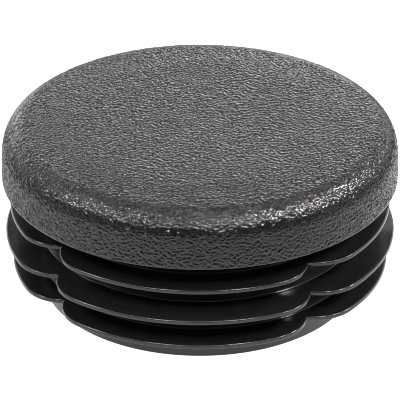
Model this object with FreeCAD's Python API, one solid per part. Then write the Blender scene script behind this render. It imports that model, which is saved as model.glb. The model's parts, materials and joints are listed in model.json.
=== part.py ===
"""Round push-in end cap for a 50 mm tube, moulded in one piece.

A grained head covers the tube's end. Under it a plain hollow body carries three thin flat
fins, which bend and grip the inside of the tube. Each fin has four lobes, with a sharp notch
between one lobe and the next. Millimetres, +Z up through the head, origin at the centre of
the body's open lower rim.
"""

import FreeCAD, Part
import math
import os

NODE = "end_cap"

# The head
HEAD_RADIUS = 25.0
HEAD_HEIGHT = 7.0
HEAD_EDGE_RADIUS = 3.3
HEAD_SIDE_TAPER = 0.15
PLATEAU_RADIUS = 16.0
FALL_DEG = 2.5
HEAD_LOWER_EDGE = 0.15

# The hollow body below it
INSERT_DEPTH = 15.0
BODY_RADIUS = 20.1
BODY_WALL = 1.9
BODY_DRAFT_DEG = 0.5
BODY_LEAD_IN = 0.2
HEAD_WALL = 2.6
CEILING_BEVEL = 1.0
MOUTH_EDGE = 0.3

# The fins, from the top one down: (radius over the lobes, middle below the head's underside)
FINS = ((23.95, 3.65), (24.6, 7.52), (23.8, 11.39))
FIN_THICKNESS = 0.55
FIN_ROOT_EASE = 0.25

# The lobes of a fin
LOBES = 4
NOTCH_DEPTH = 2.45
SHOULDER_DEG = 13.5

SEAT_Z = INSERT_DEPTH
TOP_Z = SEAT_Z + HEAD_HEIGHT
CEILING_Z = TOP_Z - HEAD_WALL
OVERLAP = 1.0
SAME = 1e-3
AXIS = FreeCAD.Vector(0, 0, 1)
ORIGIN = FreeCAD.Vector(0, 0, 0)


def polar(radius, degrees, z=0.0):
    """The point at this radius and angle around the Z axis."""
    angle = math.radians(degrees)
    return FreeCAD.Vector(radius * math.cos(angle), radius * math.sin(angle), z)


def section(radius, z):
    """A point of a turned profile, which is drawn in the XZ plane."""
    return FreeCAD.Vector(radius, 0, z)


def line(start, end):
    return Part.LineSegment(start, end).toShape()


def arc(start, middle, end):
    return Part.Arc(start, middle, end).toShape()


def turned(edges):
    """The solid of revolution of a closed profile around Z."""
    return Part.Face(Part.Wire(edges)).revolve(ORIGIN, AXIS, 360)


def on_circle(centre, radius, degrees):
    """The point of a profile's circle that lies this way, above the outward direction."""
    angle = math.radians(degrees)
    return centre + section(radius * math.cos(angle), radius * math.sin(angle))


def make_head():
    """A disc with a large round upper edge and a flat middle that falls away a little to it."""
    shoulder = HEAD_RADIUS - HEAD_SIDE_TAPER
    edge_centre = section(shoulder - HEAD_EDGE_RADIUS, TOP_Z - HEAD_EDGE_RADIUS)
    foot = section(HEAD_RADIUS, SEAT_Z)
    side_top = section(shoulder, TOP_Z - HEAD_EDGE_RADIUS)
    upright = 90.0 - FALL_DEG
    edge_middle = on_circle(edge_centre, HEAD_EDGE_RADIUS, upright / 2)
    edge_end = on_circle(edge_centre, HEAD_EDGE_RADIUS, upright)
    rise = (edge_end.x - PLATEAU_RADIUS) * math.tan(math.radians(FALL_DEG))
    plateau_rim = section(PLATEAU_RADIUS, edge_end.z + rise)
    plateau_middle = section(0, plateau_rim.z)
    return turned([
        line(section(0, SEAT_Z), foot),
        line(foot, side_top),
        arc(side_top, edge_middle, edge_end),
        line(edge_end, plateau_rim),
        line(plateau_rim, plateau_middle),
        line(plateau_middle, section(0, SEAT_Z)),
    ])


def make_body():
    """The plain round stem, which runs on a little into the head, eased at its lower edge."""
    stem = Part.makeCylinder(BODY_RADIUS, SEAT_Z + OVERLAP)
    return ease(stem, BODY_LEAD_IN, [(0, BODY_RADIUS)])


def make_hollow():
    """What is cored out of the body and the head: a cup with draft and a bevelled corner."""
    mouth = BODY_RADIUS - BODY_WALL
    ceiling = mouth - CEILING_Z * math.tan(math.radians(BODY_DRAFT_DEG))
    core = Part.makeCone(mouth, ceiling, CEILING_Z)
    return ease(core, CEILING_BEVEL, [(CEILING_Z, ceiling)])


def lobed_outline(radius, z):
    """The outline of a fin: broad arcs about the axis, whose shoulders turn in to the notches.

    A shoulder is an arc tangent to the broad arc, and it ends at the root of the notch.
    """
    notch = radius - NOTCH_DEPTH
    half_lobe = 180.0 / LOBES
    broad = half_lobe - SHOULDER_DEG
    lean = math.cos(math.radians(SHOULDER_DEG))
    shoulder = (radius ** 2 + notch ** 2 - 2 * radius * notch * lean) / (
        2 * (radius - notch * lean)
    )
    edges = []
    for lobe in range(LOBES):
        middle = lobe * 360.0 / LOBES
        for side in (-1, 1):
            tangent = middle + side * broad
            centre = polar(radius - shoulder, tangent, z)
            root = polar(notch, middle + side * half_lobe, z)
            start = polar(radius, tangent, z)
            bisector = (start - centre).normalize() + (root - centre).normalize()
            bulge = centre + bisector.normalize() * shoulder
            edges.append(arc(start, bulge, root))
        ends = [polar(radius, middle + side * broad, z) for side in (-1, 1)]
        edges.append(arc(ends[0], polar(radius, middle, z), ends[1]))
    return Part.Wire(Part.__sortEdges__(edges))


def make_fin(radius, below_seat):
    """One thin flat fin, solid to the axis."""
    bottom = SEAT_Z - below_seat - FIN_THICKNESS / 2
    return Part.Face(lobed_outline(radius, bottom)).extrude(AXIS * FIN_THICKNESS)


def circles_at(shape, z, radius):
    """The round edges of a shape that lie at this height and have this radius."""
    return [
        edge
        for edge in shape.Edges
        if edge.BoundBox.ZLength < SAME
        and abs(edge.BoundBox.ZMin - z) < SAME
        and isinstance(edge.Curve, Part.Circle)
        and abs(edge.Curve.Radius - radius) < SAME
    ]


def ease(shape, size, spots):
    """Break the round edges at these (height, radius) spots with a small bevel."""
    edges = []
    for z, radius in spots:
        edges += circles_at(shape, z, radius)
    return shape.makeChamfer(size, edges)


def fin_roots():
    """Where the faces of the fins and the head's underside meet the body."""
    spots = [(SEAT_Z, BODY_RADIUS)]
    for _, below_seat in FINS:
        middle = SEAT_Z - below_seat
        spots.append((middle + FIN_THICKNESS / 2, BODY_RADIUS))
        spots.append((middle - FIN_THICKNESS / 2, BODY_RADIUS))
    return spots


def make_cap():
    """The whole moulding as one solid."""
    fins = [make_fin(radius, below_seat) for radius, below_seat in FINS]
    cap = make_head().fuse([make_body()] + fins).removeSplitter()
    cap = ease(cap, FIN_ROOT_EASE, fin_roots())
    cap = ease(cap, HEAD_LOWER_EDGE, [(SEAT_Z, HEAD_RADIUS)])
    cap = cap.cut(make_hollow())
    return ease(cap, MOUTH_EDGE, [(0, BODY_RADIUS - BODY_WALL)])


def main():
    os.makedirs("parts", exist_ok=True)
    cap = make_cap()
    solid = cap.Solids[0]
    print("solids", len(cap.Solids), "valid", solid.isValid(), "volume", round(solid.Volume, 1))
    solid.exportStep(os.path.join("parts", NODE + ".step"))


main()
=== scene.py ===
"""Dresses the tube end cap: a grained head over a glossy hollow body with three lobed fins.

The head's grain is geometry: each point of the head is sunk below the smooth surface by a
noise. Lengths in the constants are millimetres unless a comment says metres, and every
Blender object is in metres in the CAD's frame.
"""

import json
import math
from collections import namedtuple

import bpy
import numpy as np
from mathutils import Matrix, Vector, noise

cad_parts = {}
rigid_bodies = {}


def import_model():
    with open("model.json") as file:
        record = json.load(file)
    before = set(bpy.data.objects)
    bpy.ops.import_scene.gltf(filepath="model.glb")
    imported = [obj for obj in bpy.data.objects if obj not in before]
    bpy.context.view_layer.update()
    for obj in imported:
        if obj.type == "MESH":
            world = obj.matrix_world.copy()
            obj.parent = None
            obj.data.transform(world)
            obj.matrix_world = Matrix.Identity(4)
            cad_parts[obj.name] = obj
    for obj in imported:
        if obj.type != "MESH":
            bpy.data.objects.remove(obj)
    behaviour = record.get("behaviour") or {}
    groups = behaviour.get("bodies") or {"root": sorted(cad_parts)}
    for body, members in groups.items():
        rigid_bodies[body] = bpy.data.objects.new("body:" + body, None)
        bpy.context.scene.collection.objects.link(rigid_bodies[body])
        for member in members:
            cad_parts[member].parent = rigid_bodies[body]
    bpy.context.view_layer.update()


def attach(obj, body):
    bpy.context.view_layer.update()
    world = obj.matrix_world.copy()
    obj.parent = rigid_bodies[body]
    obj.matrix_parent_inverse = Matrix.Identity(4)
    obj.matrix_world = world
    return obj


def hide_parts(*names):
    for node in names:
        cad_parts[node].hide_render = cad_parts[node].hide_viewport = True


MM = 0.001
NODE = "end_cap"

# The head
HEAD_RADIUS = 25.0
HEAD_SIDE_TAPER = 0.15
HEAD_EDGE_RADIUS = 3.3
PLATEAU_RADIUS = 16.0
PLATEAU_BLEND = 2.4
FALL_DEG = 2.5
LOWER_EDGE = 0.16
SEAT_Z = 15.0
TOP_Z = 22.0

# The hollow body
BODY_RADIUS = 20.1
BODY_WALL = 1.9
BODY_DRAFT_DEG = 0.5
BODY_LEAD_IN = 0.25
MOUTH_EDGE = 0.3
CEILING_Z = 19.4
CEILING_FILLET = 1.3

# The fins, from the top one down: (radius over the lobes, middle below the seat)
FINS = ((23.95, 3.65), (24.6, 7.52), (23.8, 11.39))
FIN_THICKNESS = 0.55
FIN_ROOT_FILLET = 0.3
TIP_UPPER = 0.18
TIP_LOWER = 0.10
LOBES = 4
NOTCH_DEPTH = 2.45
SHOULDER_DEG = 13.5

# The grain of the head: two sizes of noise, deeper and squeezed round the axis on the side
GRAIN_SIZE = 0.213
GRAIN_DEPTH = 0.17
FINE_SIZE = 0.225
FINE_SHARE = 0.2
FINE_SHIFT = Vector((31.7, 12.9, 5.3))
SIDE_DEPTH_GAIN = 0.85
SIDE_SQUEEZE = 1.45
SIDE_BLEND_DEG = 15.0
FADE_START = 0.08
FADE_HEIGHT = 0.2

# How finely the head is cut, and where it is divided into pieces
GRID = 0.1
NET_SECTORS = 6
NET_INSET = 0.25
TOP_SPLIT = 15.0
EDGE_SPLIT_DEG = 10.0
LOWER_EDGE_STEPS = 4
SEAT_OVERLAP = 0.1
SEAT_RINGS = (23.0, 21.5, BODY_RADIUS - SEAT_OVERLAP)

# How finely the body and the fins are cut
ROUND_STEPS = 5
TIP_UPPER_STEPS = 6
TIP_LOWER_STEPS = 5
FIN_FACE_SHARES = (0.33, 0.66)
SHOULDER_STEPS = 28
BROAD_STEPS = 72
SAME_ANGLE = 1e-6
HOLLOW_START_Z = 1.5
HOLLOW_ROWS = 12
CEILING_FILLET_STEPS = 9
CEILING_RINGS = (12.0, 6.0, 1.0)

# The plastic: colours where a noise is 0 and 1, and roughness where it is at its limits
INDEX_OF_REFRACTION = 1.51
NOISE_LIMITS = (0.3, 0.7)
GRAINED_DARK = (0.003, 0.003, 0.0032)
GRAINED_LIGHT = (0.006, 0.006, 0.0063)
GRAINED_ROUGHNESS = (0.15, 0.08)
GLOSSY_DARK = (0.0045, 0.0045, 0.0047)
GLOSSY_LIGHT = (0.0075, 0.0075, 0.0078)
GLOSSY_ROUGHNESS = (0.15, 0.24)

# The camera
CAMERA_AZIMUTH = 7.35
CAMERA_ELEVATION = 28.19
CAMERA_DISTANCE = 350.0
CAMERA_LENS = 250.17
CAMERA_SENSOR = 36.0
AIM_DOWN_DEG = 0.602
PIXEL_FILTER = 1.0

# The floor, and its painted glow, a pool of light that stands in for lamplight on it, set by the
# distance from a point behind and left of the cap's axis, as a share of GLOW_REACH
FLOOR_HALF = 3000.0
FLOOR_CELLS = 24
FLOOR_PALE = 0.12
FLOOR_VARIATION = 0.01
FLOOR_ROUGHNESS = 0.9
GLOW_BEHIND = 27.0
GLOW_LEFT = 14.0
GLOW_REACH = 200.0
FLOOR_PAINTED_GLOW = ((0.0, 0.8), (0.33, 1.25), (0.6, 0.0), (1.0, 0.0))

# The surroundings: brightness by the sine of the height above the horizon, beyond the cap and
# on the near side, with a swing from strip to strip that turns over between two heights
FAR_SIDE = ((0.0, 0.35), (0.19, 0.35), (0.23, 3.2), (0.39, 3.2), (0.43, 0.0), (0.60, 0.0),
            (0.63, 2.1), (0.81, 2.1), (0.83, 0.0), (0.955, 0.0), (0.97, 4.5), (1.0, 4.5))
NEAR_SIDE = ((0.0, 0.0), (0.19, 0.0), (0.23, 0.1), (0.39, 0.1), (0.43, 0.0), (0.60, 0.0),
             (0.63, 2.9), (0.81, 2.9), (0.83, 0.0), (0.955, 0.0), (0.97, 4.5), (1.0, 4.5))
NEAR_TO_FAR = (-0.95, 0.9)
STRIP_SPACING_DEG = 30.0
STRIP_SWING = (0.45, -0.9)
SWING_HEIGHTS = (0.44, 0.59)

# The softboxes, in metres: name, direction (right, far, up), width, height, radiance
SOFTBOX_DISTANCE = 0.6
SOFTBOX_AIM_Z = 0.018
SOFTBOXES = (
    ("right_softbox", (0.76, 0.14, 0.63), 0.10, 0.08, 88.0),
    ("right_near_softbox", (0.66, -0.30, 0.67), 0.10, 0.08, 80.0),
    ("near_softbox", (0.30, -0.62, 0.72), 0.10, 0.08, 68.0),
    ("left_near_softbox", (-0.30, -0.62, 0.72), 0.14, 0.08, 38.0),
    ("left_softbox", (-0.72, -0.20, 0.66), 0.14, 0.08, 50.0),
    ("left_far_softbox", (-0.50, 0.86, 0.08), 0.20, 0.12, 2.8),
)


# ---------------------------------------------------------------- mesh helpers

def mesh_object(name, points, faces, materials, face_material=None):
    """A mesh piece from points in millimetres and a list of faces, shaded smooth."""
    mesh = bpy.data.meshes.new(name)
    mesh.from_pydata((np.asarray(points) * MM).tolist(), [], faces)
    for material in materials:
        mesh.materials.append(material)
    if face_material is not None:
        mesh.polygons.foreach_set("material_index", face_material)
    mesh.polygons.foreach_set("use_smooth", [True] * len(mesh.polygons))
    mesh.update()
    piece = bpy.data.objects.new(name, mesh)
    bpy.context.scene.collection.objects.link(piece)
    return piece


def band_faces(rows, columns):
    """Quads between neighbouring rows of points that run right round the axis."""
    faces = []
    for row in range(rows - 1):
        here = row * columns
        following = here + columns
        for column in range(columns):
            after = (column + 1) % columns
            faces.append((here + column, following + column, following + after, here + after))
    return faces


def around(count):
    """The cosine and sine of evenly spaced angles right round the axis."""
    angles = [2 * math.pi * k / count for k in range(count)]
    return [(math.cos(angle), math.sin(angle)) for angle in angles]


def arc_points(centre, radius, first, last, steps):
    """Points of a profile's arc, from angle first to last, in degrees."""
    return [(centre[0] + radius * math.cos(angle), centre[1] + radius * math.sin(angle))
            for angle in np.radians(np.linspace(first, last, steps + 1))]


def steps_along(length):
    """How many steps of about the grid's size a length takes."""
    return max(1, int(round(length / GRID)))


def between_0_and_1(value):
    """The value, or the nearer of 0 and 1 where it lies outside them."""
    return min(1.0, max(0.0, value))


# ---------------------------------------------------------------- the head's smooth form

def edge_circle():
    """The centre of the round edge's section, as a radius and a height."""
    shoulder = HEAD_RADIUS - HEAD_SIDE_TAPER
    return shoulder - HEAD_EDGE_RADIUS, TOP_Z - HEAD_EDGE_RADIUS


def edge_end():
    """Where the round edge meets the falling top, as a radius and a height."""
    centre_radius, centre_z = edge_circle()
    fall = math.radians(FALL_DEG)
    return (centre_radius + HEAD_EDGE_RADIUS * math.sin(fall),
            centre_z + HEAD_EDGE_RADIUS * math.cos(fall))


def top_height(radius):
    """Height of the head's smooth top: level in the middle, with a soft bend to the fall."""
    fall = math.tan(math.radians(FALL_DEG))
    end_radius, end_z = edge_end()
    plateau_z = end_z + (end_radius - PLATEAU_RADIUS) * fall
    inner = PLATEAU_RADIUS - PLATEAU_BLEND
    outer = PLATEAU_RADIUS + PLATEAU_BLEND
    if radius <= inner:
        return plateau_z
    if radius >= outer:
        return plateau_z - (radius - PLATEAU_RADIUS) * fall
    return plateau_z - fall * (radius - inner) ** 2 / (2 * (outer - inner))


def rim_profile(start_radius):
    """Rows of the head's profile from the rim of the top's net to the seat, evenly stepped.

    A row is (radius, height, lean), where lean is the angle of the surface's normal above the
    level. It is below zero only on the small round of the lower edge.
    """
    centre_radius, centre_z = edge_circle()
    end_radius, _ = edge_end()
    upright = math.pi / 2 - math.radians(FALL_DEG)
    rows = []
    steps = steps_along(end_radius - start_radius)
    for k in range(steps):
        radius = start_radius + (end_radius - start_radius) * k / steps
        rows.append((radius, top_height(radius), upright))
    steps = steps_along(HEAD_EDGE_RADIUS * upright)
    for k in range(steps + 1):
        lean = upright * (1 - k / steps)
        rows.append((centre_radius + HEAD_EDGE_RADIUS * math.cos(lean),
                     centre_z + HEAD_EDGE_RADIUS * math.sin(lean), lean))
    taper = math.atan2(HEAD_SIDE_TAPER, centre_z - SEAT_Z)
    side_top = HEAD_RADIUS - HEAD_SIDE_TAPER
    side_foot = HEAD_RADIUS - LOWER_EDGE * math.tan(taper)
    foot_z = SEAT_Z + LOWER_EDGE
    steps = steps_along(centre_z - foot_z)
    for k in range(1, steps + 1):
        share = k / steps
        rows.append((side_top + (side_foot - side_top) * share,
                     centre_z + (foot_z - centre_z) * share, taper * share))
    for k in range(1, LOWER_EDGE_STEPS + 1):
        lean = -math.radians(90.0 * k / LOWER_EDGE_STEPS)
        rows.append((side_foot - LOWER_EDGE + LOWER_EDGE * math.cos(lean),
                     foot_z + LOWER_EDGE * math.sin(lean), lean))
    return rows


# ---------------------------------------------------------------- the head's grain

def grain(point, strength=1.0):
    """How far below the smooth surface the grained one lies here, in millimetres."""
    place = Vector(point)
    coarse = noise.noise(place / GRAIN_SIZE)
    fine = noise.noise(place / FINE_SIZE + FINE_SHIFT)
    level = coarse + FINE_SHARE * fine
    return strength * GRAIN_DEPTH * max(0.0, 0.5 - 0.5 * level)


def rim_depth(point, lean):
    """How deep the grain is at a point of the round edge or the side, in millimetres.

    Near the seat the grain fades to its mean depth, which the lower edge keeps.
    """
    gain = 1.0 + SIDE_DEPTH_GAIN * math.cos(lean)
    even = 0.5 * GRAIN_DEPTH * gain
    if lean < 0:
        return even
    on_side = between_0_and_1(2.0 - math.degrees(lean) / SIDE_BLEND_DEG)
    depth = 0.0
    if on_side < 1:
        depth += (1.0 - on_side) * grain(point, gain)
    if on_side > 0:
        squeezed = (point[0] * SIDE_SQUEEZE, point[1] * SIDE_SQUEEZE, point[2])
        depth += on_side * grain(squeezed, gain)
    fade = between_0_and_1((point[2] - SEAT_Z - FADE_START) / FADE_HEIGHT)
    return even + fade * (depth - even)


# ---------------------------------------------------------------- the head's pieces

def net_count(ring):
    """How many points a ring of the top's net has: one in the middle, then six more each."""
    return max(1, NET_SECTORS * ring)


def net_ring(inner_start, outer_start, ring):
    """Triangles between a ring of the net and the one inside it."""
    inner_count = net_count(ring - 1)
    outer_count = net_count(ring)
    faces = []
    for sector in range(NET_SECTORS):
        for k in range(ring):
            inner = sector * (ring - 1) + k
            outer = sector * ring + k
            corner = inner_start + inner % inner_count
            after = outer_start + (outer + 1) % outer_count
            faces.append((corner, outer_start + outer, after))
            if k < ring - 1:
                faces.append((corner, after, inner_start + (inner + 1) % inner_count))
    return faces


def net_piece(name, first, last, spacing, material):
    """The part of the top from ring first to ring last of an even net, lowered by the grain."""
    points = []
    starts = []
    for ring in range(first, last + 1):
        starts.append(len(points))
        radius = spacing * ring
        height = top_height(radius)
        for cosine, sine in around(net_count(ring)):
            x = radius * cosine
            y = radius * sine
            points.append((x, y, height - grain((x, y, height))))
    faces = []
    for ring in range(first + 1, last + 1):
        faces += net_ring(starts[ring - 1 - first], starts[ring - first], ring)
    return mesh_object(name, points, faces, [material])


def make_head_top(material):
    """The top inside the round edge, in two pieces so that neither is too heavy.

    Also returns how many points its outermost ring has, and that ring's radius.
    """
    rim = edge_circle()[0] - NET_INSET
    rings = steps_along(rim)
    spacing = rim / rings
    split = int(round(TOP_SPLIT / spacing))
    middle = net_piece("head_top_middle", 0, split, spacing, material)
    outer = net_piece("head_top_outer", split, rings, spacing, material)
    return [middle, outer], net_count(rings), rim


def rim_points(rows, columns):
    """The points of some rows of the head's profile, sunk by the grain."""
    points = []
    for radius, height, lean in rows:
        for cosine, sine in around(columns):
            depth = rim_depth((radius * cosine, radius * sine, height), lean)
            if lean < 0:
                sunk_radius = radius - depth
                z = height
            else:
                sunk_radius = radius - depth * math.cos(lean)
                z = height - depth * math.sin(lean)
            points.append((sunk_radius * cosine, sunk_radius * sine, z))
    return points


def make_head_rim(columns, start_radius, grained, smooth):
    """The round edge in one piece, and the side with the smooth seat below it in another."""
    rows = rim_profile(start_radius)
    split = sum(1 for _, _, lean in rows if math.degrees(lean) > EDGE_SPLIT_DEG)
    edge = mesh_object("head_edge", rim_points(rows[:split + 1], columns),
                       band_faces(split + 1, columns), [grained])
    side_rows = rows[split:]
    points = rim_points(side_rows, columns)
    for radius in SEAT_RINGS:
        points += [(radius * cosine, radius * sine, SEAT_Z) for cosine, sine in around(columns)]
    kinds = [0] * ((len(side_rows) - 1) * columns) + [1] * (len(SEAT_RINGS) * columns)
    side = mesh_object("head_side", points, band_faces(len(side_rows) + len(SEAT_RINGS), columns),
                       [grained, smooth], kinds)
    return [edge, side]


# ---------------------------------------------------------------- the body and fins

# A row of points round the body at one height. Where share is above 0, the row lies that share
# of the way from the base radius out to the outline of a fin, whose edge is drawn in by inset.
Row = namedtuple("Row", "base height share inset fin_radius")


def plain_rows(profile):
    """Rows with no fin, from the (radius, height) points of a profile."""
    return [Row(radius, height, 0.0, 0.0, 0.0) for radius, height in profile]


def fin_reach(angle_deg, radius, inset):
    """Radius of a fin's outline at this angle, its edge drawn in by inset."""
    half_lobe = 180.0 / LOBES
    off_middle = abs((angle_deg + half_lobe) % (2 * half_lobe) - half_lobe)
    broad = half_lobe - SHOULDER_DEG
    if off_middle <= broad:
        return radius - inset
    notch = radius - NOTCH_DEPTH
    lean = math.cos(math.radians(SHOULDER_DEG))
    shoulder = (radius ** 2 + notch ** 2 - 2 * radius * notch * lean) / (
        2 * (radius - notch * lean))
    centre = radius - shoulder
    turn = math.radians(off_middle - broad)
    across = centre * math.sin(turn)
    return centre * math.cos(turn) + math.sqrt((shoulder - inset) ** 2 - across ** 2)


def fin_rows(radius, below_seat):
    """The rows of one fin from the fillet above it to the fillet below it."""
    top = SEAT_Z - below_seat + FIN_THICKNESS / 2
    bottom = top - FIN_THICKNESS
    root = FIN_ROOT_FILLET
    base = BODY_RADIUS + root
    rows = plain_rows(arc_points((base, top + root), root, 180, 270, ROUND_STEPS))
    for share in FIN_FACE_SHARES:
        rows.append(Row(base, top, share, TIP_UPPER, radius))
    for angle in np.radians(np.linspace(90, 0, TIP_UPPER_STEPS + 1)):
        inset = TIP_UPPER * (1 - math.cos(angle))
        rows.append(Row(0.0, top - TIP_UPPER * (1 - math.sin(angle)), 1.0, inset, radius))
    for angle in np.radians(np.linspace(0, -90, TIP_LOWER_STEPS + 1)):
        inset = TIP_LOWER * (1 - math.cos(angle))
        rows.append(Row(0.0, bottom + TIP_LOWER * (1 + math.sin(angle)), 1.0, inset, radius))
    for share in reversed(FIN_FACE_SHARES):
        rows.append(Row(base, bottom, share, TIP_LOWER, radius))
    return rows + plain_rows(arc_points((base, bottom - root), root, 90, 180, ROUND_STEPS))


def hollow_rows():
    """The rows of the hollow, from its mouth up the drafted wall and in along the ceiling."""
    mouth = BODY_RADIUS - BODY_WALL
    draft = math.tan(math.radians(BODY_DRAFT_DEG))
    wall_top = CEILING_Z - CEILING_FILLET
    profile = arc_points((mouth + MOUTH_EDGE, MOUTH_EDGE), MOUTH_EDGE, 270, 180, ROUND_STEPS)
    for z in np.linspace(HOLLOW_START_Z, wall_top, HOLLOW_ROWS):
        profile.append((mouth - z * draft, z))
    corner = (mouth - CEILING_Z * draft - CEILING_FILLET, wall_top)
    profile += arc_points(corner, CEILING_FILLET, 0, 90, CEILING_FILLET_STEPS)[1:]
    profile += [(radius, CEILING_Z) for radius in CEILING_RINGS]
    return plain_rows(profile)


def body_rows():
    """Every row of the body, outside from the seat to the rim and inside to the ceiling."""
    root = FIN_ROOT_FILLET
    rows = plain_rows(arc_points((BODY_RADIUS + root, SEAT_Z - root), root, 90, 180, ROUND_STEPS))
    for radius, below_seat in FINS:
        rows += fin_rows(radius, below_seat)
    lead_in = (BODY_RADIUS - BODY_LEAD_IN, BODY_LEAD_IN)
    rows += plain_rows(arc_points(lead_in, BODY_LEAD_IN, 0, -90, ROUND_STEPS))
    return rows + hollow_rows()


def fin_angles():
    """The columns' angles: closer together on the shoulders of the lobes than between."""
    half_lobe = 180.0 / LOBES
    broad = half_lobe - SHOULDER_DEG
    lobe_angles = np.concatenate((
        np.linspace(-half_lobe, -broad, SHOULDER_STEPS, endpoint=False),
        np.linspace(-broad, broad, BROAD_STEPS, endpoint=False),
        np.linspace(broad, half_lobe, SHOULDER_STEPS, endpoint=False)))
    return [lobe * 360.0 / LOBES + angle for lobe in range(LOBES) for angle in lobe_angles]


def make_body(material):
    """The body with its fins and hollow, one skin below the head."""
    rows = body_rows()
    angles = fin_angles()
    columns = len(angles)
    points = []
    for row in rows:
        for angle in angles:
            radius = row.base
            if row.share > 0:
                tip = fin_reach(angle, row.fin_radius, row.inset)
                radius = tip if row.share >= 1 else row.base + (tip - row.base) * row.share
            turn = math.radians(angle)
            points.append((radius * math.cos(turn), radius * math.sin(turn), row.height))
    faces = band_faces(len(rows), columns)
    centre = len(points)
    points.append((0.0, 0.0, CEILING_Z))
    last = (len(rows) - 1) * columns
    for k in range(columns):
        faces.append((last + k, centre, last + (k + 1) % columns))
    body = mesh_object("body_and_fins", points, faces, [material])
    sharpen_notches(body.data, rows, angles)
    return body


def sharpen_notches(mesh, rows, angles):
    """The root of each notch is a hard corner from the top of the fin's tip to its bottom."""
    lobe = 360.0 / LOBES
    roots = {k for k, angle in enumerate(angles) if abs(angle % lobe - lobe / 2) < SAME_ANGLE}
    tips = {k for k, row in enumerate(rows) if row.share >= 1}
    columns = len(angles)
    flags = np.zeros(len(mesh.edges), dtype=bool)
    ends = np.empty(len(mesh.edges) * 2, dtype=np.int64)
    mesh.edges.foreach_get("vertices", ends)
    for index, (start, end) in enumerate(ends.reshape(-1, 2)):
        if start % columns == end % columns and start % columns in roots:
            if start // columns in tips and end // columns in tips:
                flags[index] = True
    attribute = mesh.attributes.new("sharp_edge", "BOOLEAN", "EDGE")
    attribute.data.foreach_set("value", flags)


# ---------------------------------------------------------------- node helpers

def new_material(name):
    """A material with its nodes, its links and its shader."""
    material = bpy.data.materials.new(name)
    material.use_nodes = True
    nodes = material.node_tree.nodes
    shader = next(node for node in nodes if node.type == "BSDF_PRINCIPLED")
    return material, nodes, material.node_tree.links, shader


def noise_texture(nodes, links, scale, detail, roughness):
    """A noise over the object's own coordinates, which are in metres."""
    place = nodes.new("ShaderNodeTexCoord")
    texture = nodes.new("ShaderNodeTexNoise")
    links.new(place.outputs["Object"], texture.inputs["Vector"])
    texture.inputs["Scale"].default_value = scale
    texture.inputs["Detail"].default_value = detail
    texture.inputs["Roughness"].default_value = roughness
    return texture.outputs["Fac"]


def remap(nodes, links, source, limits, values):
    """Carries a number from between two limits to between two values, held at both ends."""
    node = nodes.new("ShaderNodeMapRange")
    links.new(source, node.inputs["Value"])
    node.inputs["From Min"].default_value = limits[0]
    node.inputs["From Max"].default_value = limits[1]
    node.inputs["To Min"].default_value = values[0]
    node.inputs["To Max"].default_value = values[1]
    return node.outputs["Result"]


def colour_ramp(nodes, links, source, dark, light):
    """A colour from dark to light as the source goes from 0 to 1."""
    node = nodes.new("ShaderNodeValToRGB")
    links.new(source, node.inputs["Fac"])
    node.color_ramp.elements[0].color = (*dark, 1.0)
    node.color_ramp.elements[1].color = (*light, 1.0)
    return node.outputs["Color"]


def brightness_ramp(nodes, links, source, stops):
    """A grey whose brightness follows stops of (source, brightness)."""
    node = nodes.new("ShaderNodeValToRGB")
    links.new(source, node.inputs["Fac"])
    elements = node.color_ramp.elements
    while len(elements) < len(stops):
        elements.new(0.5)
    for element, (place, value) in zip(elements, stops):
        element.position = place
        element.color = (value, value, value, 1.0)
    return node.outputs["Color"]


def mix_colours(nodes, links, factor, first, second):
    """A mix of two colours, all second where the factor is 1."""
    first_colour, second_colour, mixed_colour = 6, 7, 2
    mix = nodes.new("ShaderNodeMix")
    mix.data_type = "RGBA"
    links.new(factor, mix.inputs["Factor"])
    links.new(first, mix.inputs[first_colour])
    links.new(second, mix.inputs[second_colour])
    return mix.outputs[mixed_colour]


def math_node(nodes, links, operation, *values):
    """The result of a maths operation on numbers and outputs of other nodes."""
    node = nodes.new("ShaderNodeMath")
    node.operation = operation
    for socket, value in zip(node.inputs, values):
        if isinstance(value, (int, float)):
            socket.default_value = value
        else:
            links.new(value, socket)
    return node.outputs[0]


def vector_node(nodes, links, operation, source, fixed):
    """The number that a vector operation gives for a source and a fixed vector."""
    node = nodes.new("ShaderNodeVectorMath")
    node.operation = operation
    links.new(source, node.inputs[0])
    node.inputs[1].default_value = fixed
    return node.outputs["Value"]


def add_bump(nodes, links, shader, height, strength, distance):
    """Lets a height from 0 to 1 tilt the shader's normal; the distance is in metres."""
    bump = nodes.new("ShaderNodeBump")
    bump.inputs["Strength"].default_value = strength
    bump.inputs["Distance"].default_value = distance
    links.new(height, bump.inputs["Height"])
    links.new(bump.outputs["Normal"], shader.inputs["Normal"])


# ---------------------------------------------------------------- materials

def grained_plastic():
    """Black polyethylene as the grained mould left it: fine pits duller than the peaks."""
    material, nodes, links, shader = new_material("grained_black_polyethylene")
    pebble = noise_texture(nodes, links, scale=3300.0, detail=1.0, roughness=0.5)
    cloud = noise_texture(nodes, links, scale=160.0, detail=3.0, roughness=0.55)
    links.new(colour_ramp(nodes, links, cloud, GRAINED_DARK, GRAINED_LIGHT),
              shader.inputs["Base Color"])
    links.new(remap(nodes, links, pebble, NOISE_LIMITS, GRAINED_ROUGHNESS),
              shader.inputs["Roughness"])
    add_bump(nodes, links, shader, pebble, strength=0.1, distance=0.00003)
    shader.inputs["IOR"].default_value = INDEX_OF_REFRACTION
    return material


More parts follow.
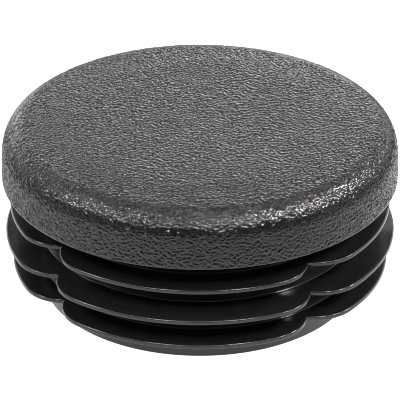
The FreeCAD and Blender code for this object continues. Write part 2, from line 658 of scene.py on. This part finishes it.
def glossy_plastic():
    """The same plastic where the mould was polished: glossy, with faint flow marks."""
    material, nodes, links, shader = new_material("glossy_black_polyethylene")
    flow = noise_texture(nodes, links, scale=210.0, detail=2.0, roughness=0.5)
    speck = noise_texture(nodes, links, scale=1500.0, detail=2.0, roughness=0.6)
    links.new(colour_ramp(nodes, links, flow, GLOSSY_DARK, GLOSSY_LIGHT),
              shader.inputs["Base Color"])
    links.new(remap(nodes, links, flow, NOISE_LIMITS, GLOSSY_ROUGHNESS),
              shader.inputs["Roughness"])
    add_bump(nodes, links, shader, speck, strength=0.25, distance=0.00002)
    shader.inputs["IOR"].default_value = INDEX_OF_REFRACTION
    return material


def floor_plastic():
    """A pale table whose emission paints a pool of light round the cap, brightest behind and left
    of it, which also lightens the shadows on it.
    """
    material, nodes, links, shader = new_material("pale_floor")
    cloud = noise_texture(nodes, links, scale=6.0, detail=2.0, roughness=0.5)
    dark = (FLOOR_PALE - FLOOR_VARIATION,) * 3
    light = (FLOOR_PALE + FLOOR_VARIATION,) * 3
    links.new(colour_ramp(nodes, links, cloud, dark, light), shader.inputs["Base Color"])
    shader.inputs["Roughness"].default_value = FLOOR_ROUGHNESS
    shader.inputs["Emission Color"].default_value = (1.0, 1.0, 1.0, 1.0)
    # Painted light: the floor glows by its distance from a point behind and left of the cap, not
    # from a lamp
    painted_glow_centre = [MM * (GLOW_BEHIND * far - GLOW_LEFT * right)
                   for right, far in zip(*level_axes())]
    place = nodes.new("ShaderNodeTexCoord").outputs["Object"]
    away = vector_node(nodes, links, "DISTANCE", place, painted_glow_centre)
    share = remap(nodes, links, away, (0.0, GLOW_REACH * MM), (0.0, 1.0))
    links.new(brightness_ramp(nodes, links, share, FLOOR_PAINTED_GLOW),
              shader.inputs["Emission Strength"])
    return material


# ---------------------------------------------------------------- stage

def clear_scene():
    """Removes the cameras and lights that are there before this scene's own."""
    for thing in list(bpy.context.scene.objects):
        if thing.type in {"CAMERA", "LIGHT"}:
            bpy.data.objects.remove(thing)


def level_axes():
    """Level directions to the picture's right, and from the camera to beyond the cap."""
    azimuth = math.radians(CAMERA_AZIMUTH)
    right = (math.cos(azimuth), math.sin(azimuth), 0.0)
    far = (-math.sin(azimuth), math.cos(azimuth), 0.0)
    return right, far


def camera_axes():
    """Directions from the cap to the camera, to the picture's right, and up in it."""
    right, far = level_axes()
    elevation = math.radians(CAMERA_ELEVATION)
    back = Vector((-far[0] * math.cos(elevation), -far[1] * math.cos(elevation),
                   math.sin(elevation)))
    return back, Vector(right), back.cross(Vector(right))


def make_camera():
    """A long lens at the photo's angle, which looks a little below the middle of the seat."""
    back, right, up = camera_axes()
    data = bpy.data.cameras.new("camera")
    data.lens = CAMERA_LENS
    data.sensor_width = CAMERA_SENSOR
    data.clip_start = 0.01
    data.clip_end = 50.0
    camera = bpy.data.objects.new("camera", data)
    bpy.context.scene.collection.objects.link(camera)
    tilt = math.radians(AIM_DOWN_DEG)
    backward = (back * math.cos(tilt) + up * math.sin(tilt)).normalized()
    upward = backward.cross(right).normalized()
    turn = Matrix((right, upward, backward)).transposed().to_4x4()
    place = Vector((0.0, 0.0, SEAT_Z * MM)) + back * CAMERA_DISTANCE * MM
    camera.matrix_world = Matrix.Translation(place) @ turn
    bpy.context.scene.camera = camera


def make_floor():
    """A flat floor, in cells because its painted glow is sampled face by face."""
    side = FLOOR_CELLS + 1
    places = np.linspace(-FLOOR_HALF, FLOOR_HALF, side)
    points = [(x, y, 0.0) for y in places for x in places]
    faces = []
    for row in range(FLOOR_CELLS):
        for column in range(FLOOR_CELLS):
            corner = row * side + column
            faces.append((corner, corner + 1, corner + side + 1, corner + side))
    floor = mesh_object("floor", points, faces, [floor_plastic()])


def make_softbox(name, direction, width, height, radiance):
    """A rectangular soft light that faces the cap and that no camera sees."""
    data = bpy.data.lights.new(name, "AREA")
    data.shape = "RECTANGLE"
    data.size = width
    data.size_y = height
    data.energy = radiance * math.pi * width * height
    light = bpy.data.objects.new(name, data)
    bpy.context.scene.collection.objects.link(light)
    toward = direction.normalized()
    aim = Vector((0.0, 0.0, SOFTBOX_AIM_Z))
    light.matrix_world = (Matrix.Translation(aim + toward * SOFTBOX_DISTANCE)
                          @ toward.to_track_quat("Z", "Y").to_matrix().to_4x4())
    light.visible_camera = False


def make_softboxes():
    """All the softboxes, placed by how the photo's camera looks at the cap."""
    right, far = [Vector(axis) for axis in level_axes()]
    for name, (to_right, to_far, upward), width, height, radiance in SOFTBOXES:
        direction = right * to_right + far * to_far + Vector((0.0, 0.0, upward))
        make_softbox(name, direction, width, height, radiance)


def make_world():
    """Surroundings in level bands of light and dark, which strips part sideways.

    The slopes of the grain mirror them, which gives the grain its contrast.
    """
    world = bpy.data.worlds.new("studio")
    bpy.context.scene.world = world
    world.use_nodes = True
    nodes = world.node_tree.nodes
    links = world.node_tree.links
    background = next(node for node in nodes if node.type == "BACKGROUND")
    direction = nodes.new("ShaderNodeTexCoord").outputs["Generated"]
    rightward, beyond = [vector_node(nodes, links, "DOT_PRODUCT", direction, axis)
                         for axis in level_axes()]
    split = nodes.new("ShaderNodeSeparateXYZ")
    links.new(direction, split.inputs[0])
    height = split.outputs["Z"]
    near_side = brightness_ramp(nodes, links, height, NEAR_SIDE)
    far_side = brightness_ramp(nodes, links, height, FAR_SIDE)
    far_share = remap(nodes, links, beyond, NEAR_TO_FAR, (0.0, 1.0))
    links.new(mix_colours(nodes, links, far_share, near_side, far_side),
              background.inputs["Color"])
    bearing = math_node(nodes, links, "ARCTAN2", rightward, beyond)
    turns = math_node(nodes, links, "MULTIPLY", bearing, 360.0 / STRIP_SPACING_DEG)
    wave = math_node(nodes, links, "SINE", turns)
    swing = remap(nodes, links, height, SWING_HEIGHTS, STRIP_SWING)
    links.new(math_node(nodes, links, "MULTIPLY_ADD", wave, swing, 1.0),
              background.inputs["Strength"])


def make_stage():
    """The camera, the floor, the surroundings, the softboxes and the picture's settings."""
    make_camera()
    make_floor()
    make_world()
    make_softboxes()
    scene = bpy.context.scene
    scene.view_settings.view_transform = "Standard"
    scene.cycles.filter_width = PIXEL_FILTER


# ---------------------------------------------------------------- all together

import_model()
clear_scene()
grained = grained_plastic()
glossy = glossy_plastic()
tops, rim_columns, rim_start = make_head_top(grained)
rims = make_head_rim(rim_columns, rim_start, grained, glossy)
body = make_body(glossy)
for piece in (*tops, *rims, body):
    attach(piece, "root")
    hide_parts(NODE)
make_stage()
